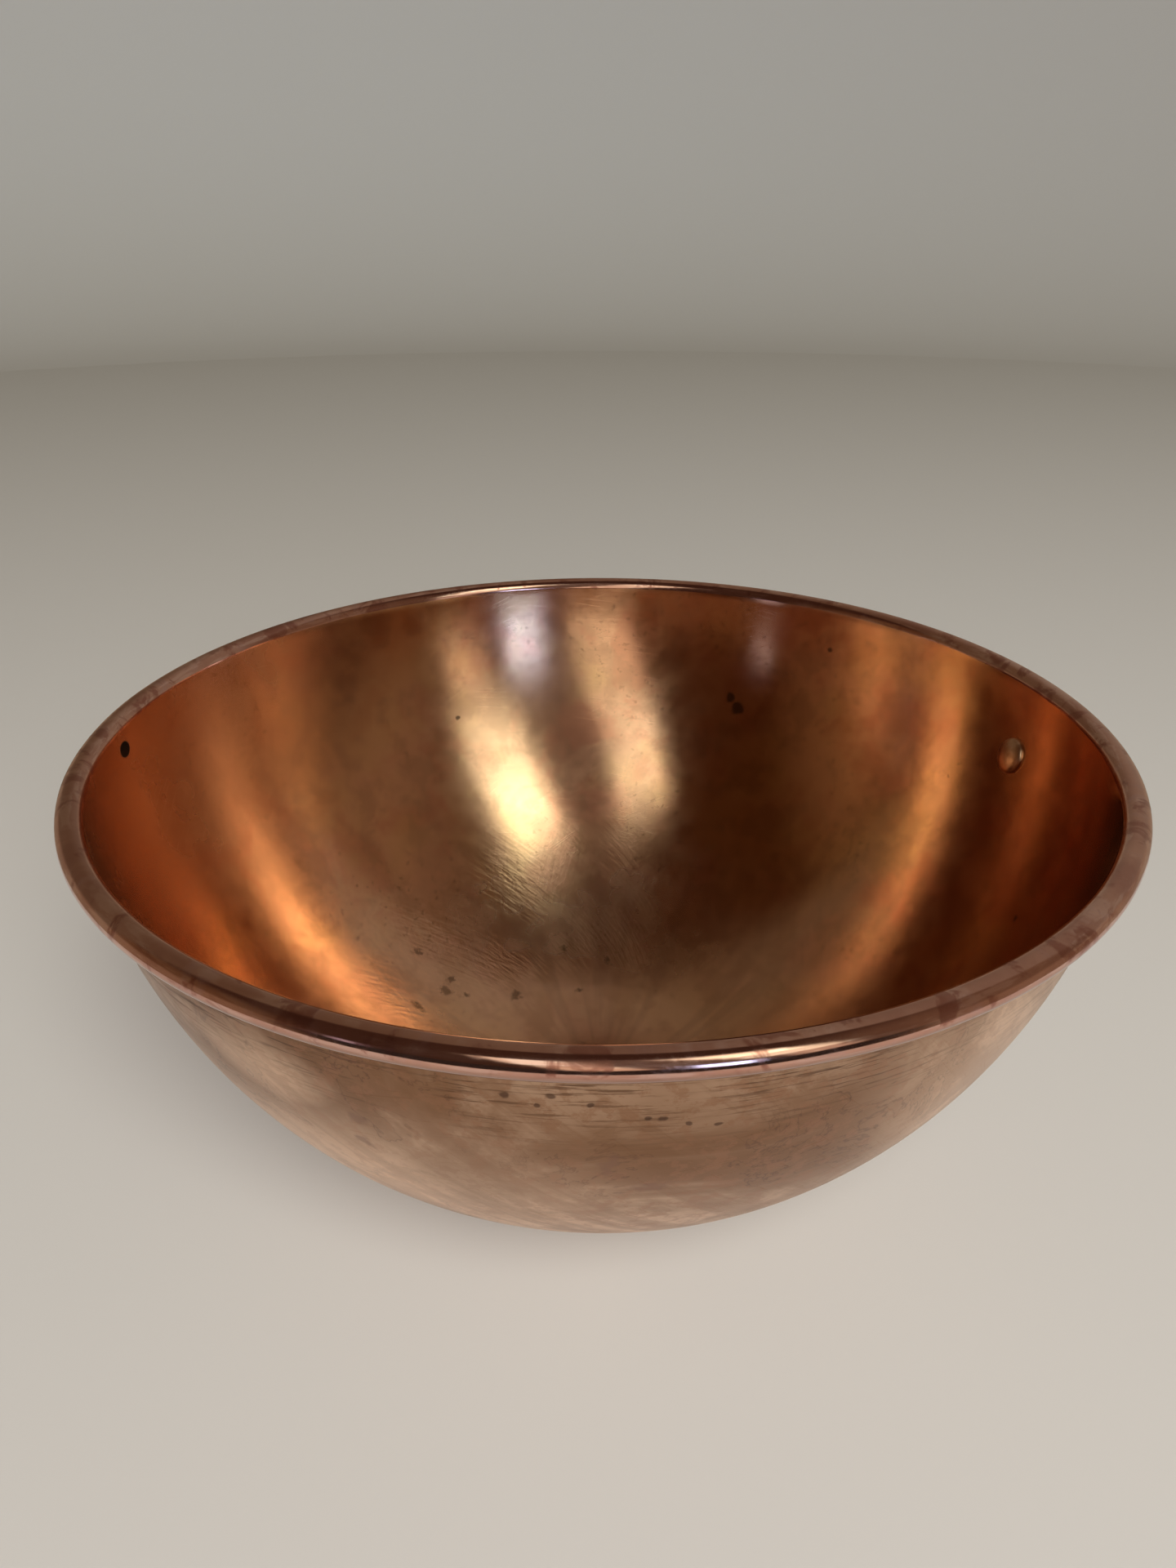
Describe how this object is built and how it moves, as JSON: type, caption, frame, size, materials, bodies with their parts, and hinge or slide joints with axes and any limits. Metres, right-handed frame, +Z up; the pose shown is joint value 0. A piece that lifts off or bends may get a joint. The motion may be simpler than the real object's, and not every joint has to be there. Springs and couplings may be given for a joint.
{
  "type": "copper beating bowl",
  "caption": "Deep, near-hemispherical spun copper bowl with a rolled rim over a wire, a small flat foot and a riveted strap holding a swinging ring.",
  "frame": {"origin": "middle of the flat foot's underside, where the bowl rests", "axes": "+Z up along the bowl's axis, +X towards the hanging ring"},
  "size_m": [0.2626, 0.26, 0.1187],
  "materials": {
    "copper_sheet": "polished by turning, satin, lightly tarnished copper",
    "iron_wire": "drawn iron wire",
    "copper_strap": "satin tarnished copper",
    "copper_rivet": "polished copper, domed",
    "ring_brass": "satin brass"
  },
  "bodies": {
    "bowl": {"bowl_shell": "copper_sheet", "rim_wire": "iron_wire", "ring_strap": "copper_strap", "strap_rivet": "copper_rivet"},
    "ring": {"hanging_ring": "ring_brass"}
  },
  "joints": [
    {"name": "ring_swing", "type": "hinge", "parent": "bowl", "child": "ring", "pos_m": [0.12843, 0, 0.10727], "axis": [0, -1, 0], "range_deg": [-18, 150]}
  ]
}
